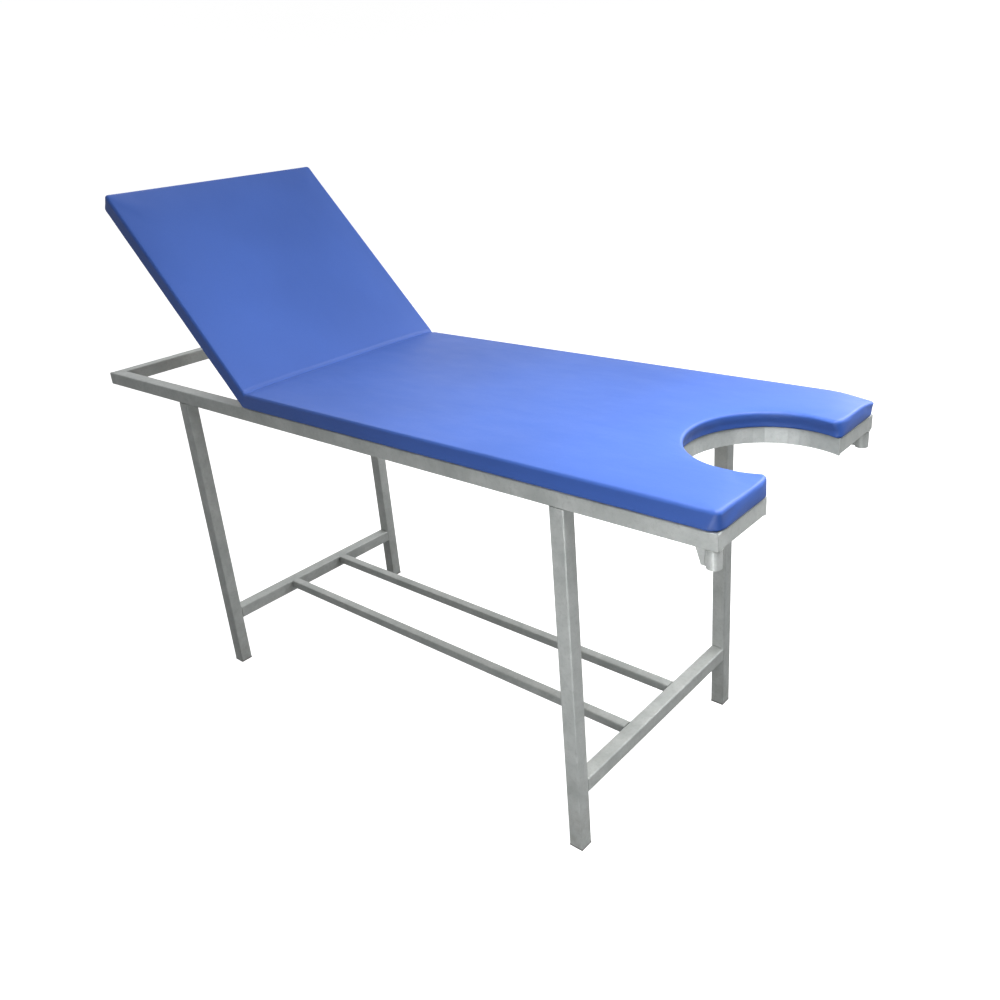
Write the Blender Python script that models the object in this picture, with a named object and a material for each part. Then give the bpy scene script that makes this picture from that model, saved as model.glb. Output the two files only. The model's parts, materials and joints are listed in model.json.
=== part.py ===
"""Gynaecological examination couch: tube frame, seat with a round cut-out, ratchet backrest.

X runs from the head end to the foot end, -Y is the near long side, Z is up.
The origin is on the floor, under the middle of the couch. Everything is in metres.
"""
from math import acos, asin, cos, pi, radians, sin, sqrt, tan

import bmesh
import bpy
from mathutils import Matrix

# ---- driving dimensions -------------------------------------------------------------------
FRAME_LENGTH = 1.830
FRAME_WIDTH = 0.608
FRAME_TOP = 0.790
TUBE = 0.032              # legs, rails and cross members are all the same square tube
TUBE_WALL = 0.0016
TUBE_CORNER = 0.003
GAP = 0.0003              # between pieces that touch

HEAD_LEG_INSET = 0.334    # from the frame's head end to the head legs' outer face
FOOT_LEG_INSET = 0.292
LOWER_RAIL_TOP = 0.161
STRETCHER = 0.022
STRETCHER_Y = 0.087
BEARER_SPACING = 0.240    # between the hinge and the bearer cross members

PAD_THICKNESS = 0.038
PAD_SIDE_OVERHANG = 0.003
PAD_FOOT_OVERHANG = 0.003
PAD_CORNER = 0.025
PRONG_CORNER = 0.018      # where the cut-out runs out through the foot end
PAD_EDGE_ROUND = 0.014
PAD_LIFT = 0.001          # the pad's skirt stays this much off the rails
PAD_SKIRT = 0.006         # upholstery that wraps round each board's edge
BOARD = 0.012

CUTOUT_RADIUS = 0.155     # in the pad; the middle lies CUTOUT_INSET inside the foot end
CUTOUT_INSET = 0.067
BAND_RADIUS = 0.160       # inner face of the steel band under the pad's edge
BAND = 0.005
BAND_WELD_ROOM = 0.0013   # between the band and the sawn ends of the foot rails

HINGE_FROM_FOOT = 1.217
HINGE_DROP = 0.016        # the hinge line lies this far below the frame's top
BACKREST_LENGTH = 0.634   # from the hinge line to the head end, along the backrest
REST_ANGLE = radians(45)  # of the backrest above level, as built
MAX_ANGLE = radians(60)
FOLD_GAP = 0.0006
BOARD_START = 0.023       # each board starts this far from the hinge line

HINGE_Y = 0.200
HINGE_WIDTH = 0.060
KNUCKLE = 0.005
LEAF = 0.0025
LEAF_LENGTH = 0.045
PIN = 0.0025
HINGE_TO_CROSS = 0.018

PROP_RADIUS = 0.235       # prop length, and its pivot's distance from the hinge line
PROP_ROD = 0.005
PROP_BAR = 0.005
PROP_BAR_HALF_WIDTH = 0.010
PROP_ARM_Y = 0.0905
PIVOT_ROD_PROUD = 0.003   # past the lugs
TOP_ROD_PROUD = 0.008     # past the racks
LUG = 0.004
LUG_Y = 0.100
LUG_ROUND = 0.010
LUG_FOOT = 0.015          # half the lug's width where it is welded on
BEARER_PAST_PIVOT = 0.020
RACK_Y = 0.112
RACK = 0.004
RACK_DROP = 0.014
RACK_FLANGE = 0.025
RACK_FLANGE_THICK = 0.003
RACK_STEPS = (15, 30, 45, 60)
RACK_BEFORE_SLOT = 0.025
RACK_PAST_SLOT = 0.030
ROD_CLEARANCE = 0.0006

SOCKET_RADIUS = 0.0125
SOCKET_BORE = 0.010
SOCKET_LENGTH = 0.033
WEB_TOP = 0.020           # the web's reach from the socket, at the rail and at its lower end
WEB_BOTTOM = 0.009

GLIDE_BASE = 0.003
GLIDE_INSERT = 0.015
GLIDE_INSERT_WIDTH = 0.0276

SCREW_HEAD = 0.004        # radii
SCREW_UNDER_HEAD = 0.0028
SCREW_SHANK = 0.0018
SCREW_HOLE = 0.0023
SCREW_HEAD_HEIGHT = 0.0022
SCREW_IN_BOARD = 0.009
SCREW_SIDES = 12
SEAT_SCREW_Y = 0.160
HINGE_SCREW_X = 0.036     # from the hinge line
HINGE_SCREW_SPREAD = 0.018
RACK_SCREW_INSET = 0.015
RACK_SCREW_Y = 0.016      # from the rack's web

# ---- derived places -----------------------------------------------------------------------
CENTRE_X = (PAD_FOOT_OVERHANG - FRAME_LENGTH) / 2
FOOT_X = -CENTRE_X                        # the frame's foot face
HEAD_X = FOOT_X - FRAME_LENGTH
RAIL_Y = (FRAME_WIDTH - TUBE) / 2
TUBE_MID_Z = FRAME_TOP - TUBE / 2
RAIL_BOTTOM = FRAME_TOP - TUBE
PAD_HALF_WIDTH = FRAME_WIDTH / 2 + PAD_SIDE_OVERHANG
CUTOUT_X = FOOT_X - CUTOUT_INSET
HINGE_X = FOOT_X - HINGE_FROM_FOOT
HINGE_Z = FRAME_TOP - HINGE_DROP
BEVEL_SLOPE = tan(MAX_ANGLE / 2)          # of the pads' faces at the fold
PAD_BASE = HINGE_DROP + PAD_LIFT          # heights above the hinge line, backrest level
PAD_TOP = HINGE_DROP + PAD_THICKNESS
BOARD_BASE = HINGE_DROP + GAP
FOLD_START = BEVEL_SLOPE * PAD_BASE + FOLD_GAP
PROP_X = HINGE_X - PROP_RADIUS
HINGE_CROSS_X = HINGE_X + HINGE_TO_CROSS + TUBE / 2
BEARER_CROSS_X = HINGE_CROSS_X + BEARER_SPACING
CUTOUT_CROSS_X = CUTOUT_X - BAND_RADIUS - BAND - GAP - TUBE / 2
RACK_ENDS = (PROP_RADIUS - RACK_BEFORE_SLOT, 2 * PROP_RADIUS + RACK_PAST_SLOT)
CROSS_MEMBERS = {
    "hinge_cross_member": HINGE_CROSS_X,
    "bearer_cross_member": BEARER_CROSS_X,
    "seat_cross_member": (BEARER_CROSS_X + CUTOUT_CROSS_X) / 2,
    "cutout_cross_member": CUTOUT_CROSS_X,
}

ALONG_X = (pi / 2, 0, pi / 2)             # turns an outline's depth along X, Y or Z
ALONG_Y = (pi / 2, 0, 0)
ALONG_Z = (0, 0, 0)
SIDES = (("near", -1), ("far", 1))


# ---- scene and looks ----------------------------------------------------------------------
def clear_scene():
    for old in list(bpy.data.objects):
        bpy.data.objects.remove(old)


def make_collection(name):
    collection = bpy.data.collections.new(name)
    bpy.context.scene.collection.children.link(collection)
    return collection


def make_material(name, colour, roughness, metallic=0.0):
    material = bpy.data.materials.new(name)
    material.use_nodes = True
    shader = material.node_tree.nodes["Principled BSDF"]
    shader.inputs["Base Color"].default_value = (*colour, 1)
    shader.inputs["Roughness"].default_value = roughness
    shader.inputs["Metallic"].default_value = metallic
    return material


# ---- outlines -----------------------------------------------------------------------------
def arc(centre, radius, start, end, steps):
    """Points along an arc, both ends included."""
    angles = [start + (end - start) * i / steps for i in range(steps + 1)]
    return [(centre[0] + radius * cos(a), centre[1] + radius * sin(a)) for a in angles]


def circle(centre, radius, steps=20):
    return arc(centre, radius, 0, 2 * pi, steps)[:-1]


def rounded_rectangle(width, height, radius, steps=3):
    x = width / 2 - radius
    y = height / 2 - radius
    corners = ((x, y, 0), (-x, y, pi / 2), (-x, -y, pi), (x, -y, 3 * pi / 2))
    points = []
    for cx, cy, start in corners:
        points += arc((cx, cy), radius, start, start + pi / 2, steps)
    return points


def tube_section(size, wall=TUBE_WALL):
    inner = size - 2 * wall
    return [
        rounded_rectangle(size, size, TUBE_CORNER),
        rounded_rectangle(inner, inner, TUBE_CORNER - wall),
    ]


def seat_outline(inset, head_x):
    """The seat seen from above, with its round cut-out; inset shrinks it evenly."""
    foot = FOOT_X + PAD_FOOT_OVERHANG - inset
    half = PAD_HALF_WIDTH - inset
    corner = PAD_CORNER - inset
    prong = PRONG_CORNER - inset
    prong_x = foot - prong
    apart = CUTOUT_RADIUS + PRONG_CORNER  # between the middles of cut-out and prong corner
    opening = acos((prong_x - CUTOUT_X) / apart)
    prong_y = apart * sin(opening)
    near = arc((foot - corner, corner - half), corner, -pi / 2, 0, 6)
    near += arc((prong_x, -prong_y), prong, 0, pi - opening, 5)
    cutout = arc((CUTOUT_X, 0), CUTOUT_RADIUS + inset, 2 * pi - opening, opening, 28)[1:-1]
    far = arc((prong_x, prong_y), prong, opening - pi, 0, 5)
    far += arc((foot - corner, half - corner), corner, 0, pi / 2, 6)
    return [(head_x, -half), *near, *cutout, *far, (head_x, half)]


def backrest_outline(inset, start):
    """The backrest seen from above, measured from the hinge line towards the head."""
    half = PAD_HALF_WIDTH - inset
    corner = PAD_CORNER - inset
    end = BACKREST_LENGTH - inset
    far = arc((corner - end, half - corner), corner, pi / 2, pi, 6)
    near = arc((corner - end, corner - half), corner, pi, 3 * pi / 2, 6)
    return [(-start, half), *far, *near, (-start, -half)]


# ---- solids -------------------------------------------------------------------------------
class Workshop:
    """Makes objects in one collection and keeps the cutters in another."""

    def __init__(self):
        self.parts = make_collection("examination_couch")
        self.cutters = make_collection("cutters")

    def outline(self, name, loops, depth, spot=(0, 0, 0), turn=ALONG_Z, parent=None):
        """An outline with depth, as a welded mesh; extra loops are holes."""
        curve = bpy.data.curves.new(name, "CURVE")
        curve.dimensions = "2D"
        curve.fill_mode = "BOTH"
        curve.extrude = depth / 2
        for loop in loops:
            spline = curve.splines.new("POLY")
            spline.points.add(len(loop) - 1)
            for point, (x, y) in zip(spline.points, loop):
                point.co = (x, y, 0, 1)
            spline.use_cyclic_u = True
        guide = bpy.data.objects.new(name + "_curve", curve)
        self.parts.objects.link(guide)
        graph = bpy.context.evaluated_depsgraph_get()
        mesh = bpy.data.meshes.new_from_object(guide.evaluated_get(graph))
        bpy.data.objects.remove(guide)
        edit = bmesh.new()
        edit.from_mesh(mesh)
        bmesh.ops.remove_doubles(edit, verts=edit.verts, dist=1e-6)
        bmesh.ops.recalc_face_normals(edit, faces=edit.faces)
        edit.to_mesh(mesh)
        edit.free()
        mesh.materials.clear()
        return self.place(name, mesh, spot, turn, parent)

    def place(self, name, mesh, spot, turn=ALONG_Z, parent=None):
        mesh.name = name
        thing = bpy.data.objects.new(name, mesh)
        thing.location = spot
        thing.rotation_euler = turn
        thing.parent = parent
        self.parts.objects.link(thing)
        return thing

    def tube(self, name, length, spot, turn, size=TUBE, parent=None):
        return self.outline(name, tube_section(size), length, spot, turn, parent)

    def rod(self, name, radius, length, spot, parent=None):
        edit = bmesh.new()
        bmesh.ops.create_cone(
            edit, cap_ends=True, segments=20, radius1=radius, radius2=radius, depth=length
        )
        mesh = bpy.data.meshes.new(name)
        edit.to_mesh(mesh)
        edit.free()
        rod = self.place(name, mesh, spot, ALONG_Y, parent)
        mesh.shade_smooth()
        mesh.set_sharp_from_angle(angle=radians(40))
        return rod

    def cut(self, cutter, *targets):
        """Takes the cutter's shape out of each target."""
        self.parts.objects.unlink(cutter)
        self.cutters.objects.link(cutter)
        cutter.hide_render = True
        cutter.display_type = "WIRE"
        for target in targets:
            modifier = target.modifiers.new("cut_" + cutter.name, "BOOLEAN")
            modifier.operation = "DIFFERENCE"
            modifier.solver = "EXACT"
            modifier.object = cutter

    def screws(self, name, places, grip, targets, parent=None):
        """A pan-head screw pointing up at each place, and the holes for them in the targets.

        Each place is the middle of the face under which a head sits; grip is what the
        screw goes through before it reaches the board.
        """
        reach = grip + SCREW_IN_BOARD
        holes = bmesh.new()
        screws = []
        for number, place in enumerate(places, 1):
            edit = bmesh.new()
            drop = Matrix.Translation((0, 0, -GAP - SCREW_HEAD_HEIGHT / 2))
            add_cone(edit, SCREW_UNDER_HEAD, SCREW_HEAD, SCREW_HEAD_HEIGHT, drop)
            top = max(edit.faces, key=lambda face: face.calc_center_median().z)
            raise_stud(edit, top, SCREW_HEAD - SCREW_SHANK, reach)
            screws.append(self.finish(f"{name}_{number}", edit, place, parent))
            add_cone(holes, SCREW_HOLE, SCREW_HOLE, 2 * reach, Matrix.Translation(place))
        self.cut(self.finish(name + "_holes", holes, (0, 0, 0), parent), *targets)
        return screws

    def finish(self, name, edit, spot, parent=None):
        """Turns a bmesh into a placed object."""
        mesh = bpy.data.meshes.new(name)
        edit.to_mesh(mesh)
        edit.free()
        return self.place(name, mesh, spot, parent=parent)

    def block(self, name, size, spot, parent=None):
        edit = bmesh.new()
        bmesh.ops.create_cube(edit, size=1)
        bmesh.ops.scale(edit, vec=size, verts=edit.verts)
        return self.finish(name, edit, spot, parent)


def add_cone(edit, low_radius, high_radius, height, matrix):
    bmesh.ops.create_cone(
        edit,
        cap_ends=True,
        segments=SCREW_SIDES,
        radius1=low_radius,
        radius2=high_radius,
        depth=height,
        matrix=matrix,
    )


def raise_stud(edit, face, rim, height):
    """Insets a flat face by the rim and pulls up what is left of it."""
    bmesh.ops.inset_individual(edit, faces=[face], thickness=rim, use_even_offset=True)
    grown = bmesh.ops.extrude_face_region(edit, geom=[face])
    raised = [item for item in grown["geom"] if isinstance(item, bmesh.types.BMVert)]
    bmesh.ops.delete(edit, geom=[face], context="FACES_ONLY")
    bmesh.ops.translate(edit, vec=(0, 0, height), verts=raised)


def lean_end(thing, end, slope, offset=0.0):
    """Slants a tube's end face: its depth changes with the distance across the tube."""
    for vertex in thing.data.vertices:
        if vertex.co.z * end > 0:
            vertex.co.z += end * (slope * vertex.co.x + offset)


def paint(things, material):
    for thing in things:
        thing.data.materials.append(material)


# ---- the fixed frame ----------------------------------------------------------------------
def make_top_frame(shop):
    """Side rails and head rail, mitred at the corners, and the two short foot rails."""
    tubes = []
    for side, sign in SIDES:
        spot = ((FOOT_X + HEAD_X) / 2, sign * RAIL_Y, TUBE_MID_Z)
        rail = shop.tube("side_rail_" + side, FRAME_LENGTH - 2 * GAP, spot, ALONG_X)
        for end in (-1, 1):
            lean_end(rail, end, sign, -TUBE / 2)
        tubes.append(rail)

    spot = (HEAD_X + TUBE / 2, 0, TUBE_MID_Z)
    head = shop.tube("head_rail", FRAME_WIDTH - 2 * GAP, spot, ALONG_Y)
    for end in (-1, 1):
        lean_end(head, end, -1, -TUBE / 2)
    tubes.append(head)

    band_outer = BAND_RADIUS + BAND
    at_face = sqrt(band_outer**2 - CUTOUT_INSET**2)
    at_back = sqrt(band_outer**2 - (CUTOUT_INSET - TUBE) ** 2)
    outer_y = FRAME_WIDTH / 2 - GAP
    inner_y = (at_face + at_back) / 2 + BAND_WELD_ROOM
    slope = (at_back - at_face) / TUBE
    for side, sign in SIDES:
        spot = (FOOT_X - TUBE / 2, sign * (outer_y + inner_y) / 2, TUBE_MID_Z)
        rail = shop.tube("foot_rail_" + side, outer_y - inner_y, spot, ALONG_Y)
        lean_end(rail, -sign, 1, -TUBE / 2)
        lean_end(rail, sign, slope)
        tubes.append(rail)
    return tubes


def make_cutout_band(shop):
    """A flat bar on edge, bent round the cut-out and sawn off flush with the foot face."""
    outer = BAND_RADIUS + BAND
    inner_start = acos(CUTOUT_INSET / BAND_RADIUS)
    outer_start = acos(CUTOUT_INSET / outer)
    centre = (CUTOUT_X, 0)
    loop = arc(centre, BAND_RADIUS, inner_start, 2 * pi - inner_start, 30)
    loop += arc(centre, outer, 2 * pi - outer_start, outer_start, 30)
    return shop.outline("cutout_band", [loop], TUBE, (0, 0, TUBE_MID_Z))


def make_cross_members(shop):
    """Tubes between the side rails that carry the seat board."""
    length = FRAME_WIDTH - 2 * TUBE - 2 * GAP
    places = CROSS_MEMBERS.items()
    return [shop.tube(name, length, (x, 0, TUBE_MID_Z), ALONG_Y) for name, x in places]


def leg_places():
    ends = (
        ("head", HEAD_X + HEAD_LEG_INSET + TUBE / 2),
        ("foot", FOOT_X - FOOT_LEG_INSET - TUBE / 2),
    )
    return [(f"{end}_{side}", x, sign * RAIL_Y) for end, x in ends for side, sign in SIDES]


def make_legs(shop):
    bottom = GLIDE_BASE + GAP
    length = RAIL_BOTTOM - GAP - bottom
    tubes = []
    for name, x, y in leg_places():
        spot = (x, y, bottom + length / 2)
        tubes.append(shop.tube("leg_" + name, length, spot, ALONG_Z))
    return tubes


def make_glides(shop):
    """Plastic plugs pressed into the leg ends; only the base shows."""
    base = TUBE - 2 * GAP
    rim = (base - GLIDE_INSERT_WIDTH) / 2
    glides = []
    for name, x, y in leg_places():
        edit = bmesh.new()
        bmesh.ops.create_cube(edit, size=1)
        bmesh.ops.scale(edit, vec=(base, base, GLIDE_BASE), verts=edit.verts)
        top = max(edit.faces, key=lambda face: face.calc_center_median().z)
        raise_stud(edit, top, rim, GLIDE_INSERT)
        glides.append(shop.finish("leg_glide_" + name, edit, (x, y, GLIDE_BASE / 2)))
    return glides


def make_lower_frame(shop):
    """A cross rail between each pair of legs and two thin stretchers along the couch."""
    head_x = HEAD_X + HEAD_LEG_INSET + TUBE / 2
    foot_x = FOOT_X - FOOT_LEG_INSET - TUBE / 2
    across = FRAME_WIDTH - 2 * TUBE - 2 * GAP
    z = LOWER_RAIL_TOP - TUBE / 2
    tubes = [
        shop.tube("lower_rail_head", across, (head_x, 0, z), ALONG_Y),
        shop.tube("lower_rail_foot", across, (foot_x, 0, z), ALONG_Y),
    ]
    along = foot_x - head_x - TUBE - 2 * GAP
    middle = (head_x + foot_x) / 2
    z = LOWER_RAIL_TOP - STRETCHER / 2
    for side, sign in SIDES:
        spot = (middle, sign * STRETCHER_Y, z)
        tubes.append(shop.tube("stretcher_" + side, along, spot, ALONG_X, STRETCHER))
    return tubes


def make_stirrup_sockets(shop):
    """A short round socket under each foot corner, with a small web on its head side."""
    pieces = []
    top = RAIL_BOTTOM - GAP
    x = FOOT_X - SOCKET_RADIUS - GAP
    web_foot = -SOCKET_RADIUS - GAP
    for side, sign in SIDES:
        y = sign * (FRAME_WIDTH / 2 - SOCKET_RADIUS)
        loops = [circle((0, 0), SOCKET_RADIUS, 24), circle((0, 0), SOCKET_BORE, 24)]
        spot = (x, y, top - SOCKET_LENGTH / 2)
        pieces.append(shop.outline("stirrup_socket_" + side, loops, SOCKET_LENGTH, spot))
        web = [
            (web_foot, 0),
            (web_foot - WEB_TOP, 0),
            (web_foot - WEB_BOTTOM, -SOCKET_LENGTH),
            (web_foot, -SOCKET_LENGTH),
        ]
        spot = (x, y, top)
        pieces.append(shop.outline("socket_web_" + side, [web], BAND, spot, ALONG_Y))
    return pieces


def make_prop_bearers(shop):
    """Two thin tubes under the cross members that carry the prop's pivot lugs."""
    end_x = PROP_X - BEARER_PAST_PIVOT
    start_x = BEARER_CROSS_X + TUBE / 2
    top = RAIL_BOTTOM - GAP
    pieces = []
    for side, sign in SIDES:
        spot = ((start_x + end_x) / 2, sign * LUG_Y, top - STRETCHER / 2)
        length = start_x - end_x
        pieces.append(shop.tube("prop_bearer_" + side, length, spot, ALONG_X, STRETCHER))
        base = top + GAP - HINGE_Z
        dome = arc((0, 0), LUG_ROUND, 0, pi, 10)
        loop = [(LUG_FOOT, base), *dome, (-LUG_FOOT, base)]
        loops = [loop, circle((0, 0), PROP_ROD + GAP)]
        spot = (PROP_X, sign * LUG_Y, HINGE_Z)
        pieces.append(shop.outline("prop_lug_" + side, loops, LUG, spot, ALONG_Y))
    return pieces


# ---- upholstery ---------------------------------------------------------------------------
def make_pad(shop, name, outline, hollow, spot, lean, parent=None):
    """A pad with a rounded top edge, one leaning end and a recess for its board."""
    height = PAD_TOP - PAD_BASE
    pad = shop.outline(name, [outline], height, spot, parent=parent)
    edit = bmesh.new()
    edit.from_mesh(pad.data)
    end_x = outline[0][0]
    for vertex in edit.verts:
        if abs(vertex.co.x - end_x) < 1e-5:
            vertex.co.x += lean * BEVEL_SLOPE * (vertex.co.z + height / 2)
    rim = [
        edge
        for edge in edit.edges
        if all(v.co.z > 0 for v in edge.verts)
        and edge.calc_face_angle(0) > radians(30)
    ]
    bmesh.ops.bevel(
        edit, geom=rim, offset=PAD_EDGE_ROUND, segments=3, profile=0.5, affect="EDGES"
    )
    edit.to_mesh(pad.data)
    edit.free()
    recess_height = BOARD_BASE + BOARD + GAP - PAD_BASE
    depth = 2 * recess_height
    recess_spot = (spot[0], spot[1], spot[2] - height / 2)
    shop.cut(shop.outline(name + "_recess", [hollow], depth, recess_spot, parent=parent), pad)
    return pad


def make_seat(shop):
    board_x = HINGE_X + BOARD_START
    board_z = HINGE_Z + BOARD_BASE + BOARD / 2
    outline = seat_outline(PAD_SKIRT, board_x)
    board = shop.outline("seat_board", [outline], BOARD, (0, 0, board_z))
    pad = make_pad(
        shop,
        "seat_pad",
        seat_outline(0, HINGE_X + FOLD_START),
        seat_outline(PAD_SKIRT - GAP, board_x - GAP),
        (0, 0, HINGE_Z + (PAD_BASE + PAD_TOP) / 2),
        1,
    )
    return board, pad


def make_backrest(shop, axis):
    board_z = BOARD_BASE + BOARD / 2
    outline = backrest_outline(PAD_SKIRT, BOARD_START)
    board = shop.outline("backrest_board", [outline], BOARD, (0, 0, board_z), parent=axis)
    pad = make_pad(
        shop,
        "backrest_pad",
        backrest_outline(0, FOLD_START),
        backrest_outline(PAD_SKIRT - GAP, BOARD_START - GAP),
        (0, 0, (PAD_BASE + PAD_TOP) / 2),
        -1,
        axis,
    )
    return board, pad


# ---- hinges -------------------------------------------------------------------------------
def make_hinges(shop, axis):
    """Two cranked butt hinges: one leaf on the cross member, one under the backrest board."""
    fixed_pieces = []
    moving_leaves = []
    outer = HINGE_TO_CROSS - GAP
    tangent = asin(LEAF / KNUCKLE)
    fixed = [
        (outer - LEAF, -KNUCKLE),
        (outer - LEAF, -HINGE_DROP),
        (outer, -HINGE_DROP),
        (outer, -LEAF),
        *arc((0, 0), KNUCKLE, -tangent, 3 * pi / 2, 20),
    ]
    moving = [
        *arc((0, 0), KNUCKLE, pi, 5 * pi / 2 + tangent, 20),
        (-LEAF, HINGE_DROP),
        (-LEAF_LENGTH, HINGE_DROP),
        (-LEAF_LENGTH, HINGE_DROP - LEAF),
        (-KNUCKLE, HINGE_DROP - LEAF),
    ]
    bore = circle((0, 0), PIN + GAP, 16)
    third = HINGE_WIDTH / 3
    room = 2 * (KNUCKLE + GAP)
    for side, sign in SIDES:
        y = sign * HINGE_Y
        spot = (HINGE_X, y, HINGE_Z)
        name = "hinge_leaf_fixed_" + side
        leaf = shop.outline(name, [fixed, bore], HINGE_WIDTH, spot, ALONG_Y)
        size = (room, third + 2 * GAP, room + LEAF)
        shop.cut(shop.block(name + "_gap", size, spot), leaf)
        fixed_pieces.append(leaf)

        name = "hinge_leaf_moving_" + side
        leaf = shop.outline(name, [moving, bore], HINGE_WIDTH, (0, y, 0), ALONG_Y, axis)
        for end in (-1, 1):
            size = (room + LEAF, third + GAP, room)
            cutter_spot = (0, y + end * (third + GAP), 0)
            shop.cut(shop.block(f"{name}_gap_{end + 1}", size, cutter_spot, axis), leaf)
        moving_leaves.append(leaf)

        fixed_pieces.append(shop.rod("hinge_pin_" + side, PIN, HINGE_WIDTH, spot))
    return fixed_pieces, moving_leaves


# ---- ratchet racks and prop ---------------------------------------------------------------
def rack_slot():
    """A slot for the prop's top rod along the hinge line's radius, notched at each step."""
    half = PROP_ROD + ROD_CLEARANCE
    near = PROP_RADIUS
    far = 2 * PROP_RADIUS
    notches = sorted(2 * PROP_RADIUS * cos(radians(step)) for step in RACK_STEPS)
    loop = arc((-near, 0), half, -pi / 2, 0, 5)
    for notch in notches:
        start = 0 if notch > near + half else pi / 12
        loop += arc((-notch, half), half, start, pi, 8)
    loop += arc((-far, 0), half, pi / 2, 3 * pi / 2, 8)
    return loop


def make_racks(shop, axis):
    """Angle irons under the backrest board whose hanging webs carry the notched slots."""
    start, end = RACK_ENDS
    racks = []
    for side, sign in SIDES:
        web = RACK * sign
        flange = RACK_FLANGE * sign
        angle = [
            (0, -RACK_DROP),
            (web, -RACK_DROP),
            (web, HINGE_DROP - RACK_FLANGE_THICK),
            (flange, HINGE_DROP - RACK_FLANGE_THICK),
            (flange, HINGE_DROP),
            (0, HINGE_DROP),
        ]
        spot = (-(start + end) / 2, sign * RACK_Y, 0)
        rack = shop.outline("ratchet_rack_" + side, [angle], end - start, spot, ALONG_X, axis)
        spot = (0, sign * (RACK_Y + RACK / 2), 0)
        slot = shop.outline(f"rack_slot_{side}", [rack_slot()], 3 * RACK, spot, ALONG_Y, axis)
        shop.cut(slot, rack)
        racks.append(rack)
    return racks


def make_prop(shop, pivot):
    """Two flat arms with a rod at each end; the top rod runs in both racks."""
    arms = []
    half = PROP_BAR_HALF_WIDTH
    hole = PROP_ROD + GAP
    for side, sign in SIDES:
        loop = arc((0, 0), half, pi / 2, 3 * pi / 2, 10)
        loop = [(-PROP_RADIUS + x, y) for x, y in loop] + arc((0, 0), half, -pi / 2, pi / 2, 10)
        loops = [loop, circle((0, 0), hole), circle((-PROP_RADIUS, 0), hole)]
        spot = (0, sign * PROP_ARM_Y, 0)
        arms.append(shop.outline("prop_arm_" + side, loops, PROP_BAR, spot, ALONG_Y, pivot))
    pivot_length = 2 * (LUG_Y + LUG / 2 + PIVOT_ROD_PROUD)
    top_length = 2 * (RACK_Y + RACK + TOP_ROD_PROUD)
    rods = [
        shop.rod("prop_pivot_rod", PROP_ROD, pivot_length, (0, 0, 0), pivot),
        shop.rod("prop_top_rod", PROP_ROD, top_length, (-PROP_RADIUS, 0, 0), pivot),
    ]
    return arms + rods


# ---- screws -------------------------------------------------------------------------------
def make_seat_screws(shop, members, board):
    """Through the first and the last cross member into the seat board."""
    rows = (HINGE_CROSS_X, CUTOUT_CROSS_X)
    places = [(x, sign * SEAT_SCREW_Y, RAIL_BOTTOM) for x in rows for _, sign in SIDES]
    return shop.screws("seat_screw", places, TUBE, [members[0], members[-1], board])


def make_hinge_screws(shop, leaves, board, axis):
    """Through the moving hinge leaves into the backrest board."""
    face = HINGE_DROP - LEAF
    places = [
        (-HINGE_SCREW_X, sign * HINGE_Y + spread, face)
        for _, sign in SIDES
        for spread in (-HINGE_SCREW_SPREAD, HINGE_SCREW_SPREAD)
    ]
    return shop.screws("hinge_screw", places, LEAF, [*leaves, board], axis)


def make_rack_screws(shop, racks, board, axis):
    """Through the racks' flanges into the backrest board."""
    face = HINGE_DROP - RACK_FLANGE_THICK
    start, end = RACK_ENDS
    along = (start + RACK_SCREW_INSET, end - RACK_SCREW_INSET)
    places = [(-x, sign * (RACK_Y + RACK_SCREW_Y), face) for _, sign in SIDES for x in along]
    return shop.screws("rack_screw", places, RACK_FLANGE_THICK, [*racks, board], axis)


# ---- the whole couch ----------------------------------------------------------------------
def make_axis(shop, name, spot, angle):
    """An empty on a joint's axis, turned up from level by the given angle."""
    axis = bpy.data.objects.new(name, None)
    axis.location = spot
    axis.rotation_euler = (0, angle, 0)
    shop.parts.objects.link(axis)
    return axis


def main():
    clear_scene()
    shop = Workshop()
    painted = make_material("silver_grey_paint", (0.36, 0.38, 0.37), 0.45, 0.3)
    zinc = make_material("zinc_plated_steel", (0.62, 0.63, 0.64), 0.35, 1.0)
    vinyl = make_material("blue_vinyl", (0.10, 0.20, 0.75), 0.45)
    plywood = make_material("plywood", (0.55, 0.40, 0.24), 0.7)
    plastic = make_material("grey_plastic", (0.20, 0.20, 0.19), 0.6)

    members = make_cross_members(shop)
    frame = make_top_frame(shop) + [make_cutout_band(shop)] + members
    frame += make_legs(shop) + make_lower_frame(shop)
    frame += make_stirrup_sockets(shop) + make_prop_bearers(shop)
    paint(frame, painted)
    paint(make_glides(shop), plastic)

    backrest_axis = make_axis(shop, "backrest_axis", (HINGE_X, 0, HINGE_Z), REST_ANGLE)
    prop_axis = make_axis(shop, "prop_axis", (PROP_X, 0, HINGE_Z), 2 * REST_ANGLE)
    seat_board, seat_pad = make_seat(shop)
    backrest_board, backrest_pad = make_backrest(shop, backrest_axis)
    paint([seat_board, backrest_board], plywood)
    paint([seat_pad, backrest_pad], vinyl)

    fixed_pieces, leaves = make_hinges(shop, backrest_axis)
    racks = make_racks(shop, backrest_axis)
    paint(fixed_pieces + leaves + racks + make_prop(shop, prop_axis), zinc)
    paint(make_seat_screws(shop, members, seat_board), zinc)
    paint(make_hinge_screws(shop, leaves, backrest_board, backrest_axis), zinc)
    paint(make_rack_screws(shop, racks, backrest_board, backrest_axis), zinc)


main()
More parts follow.
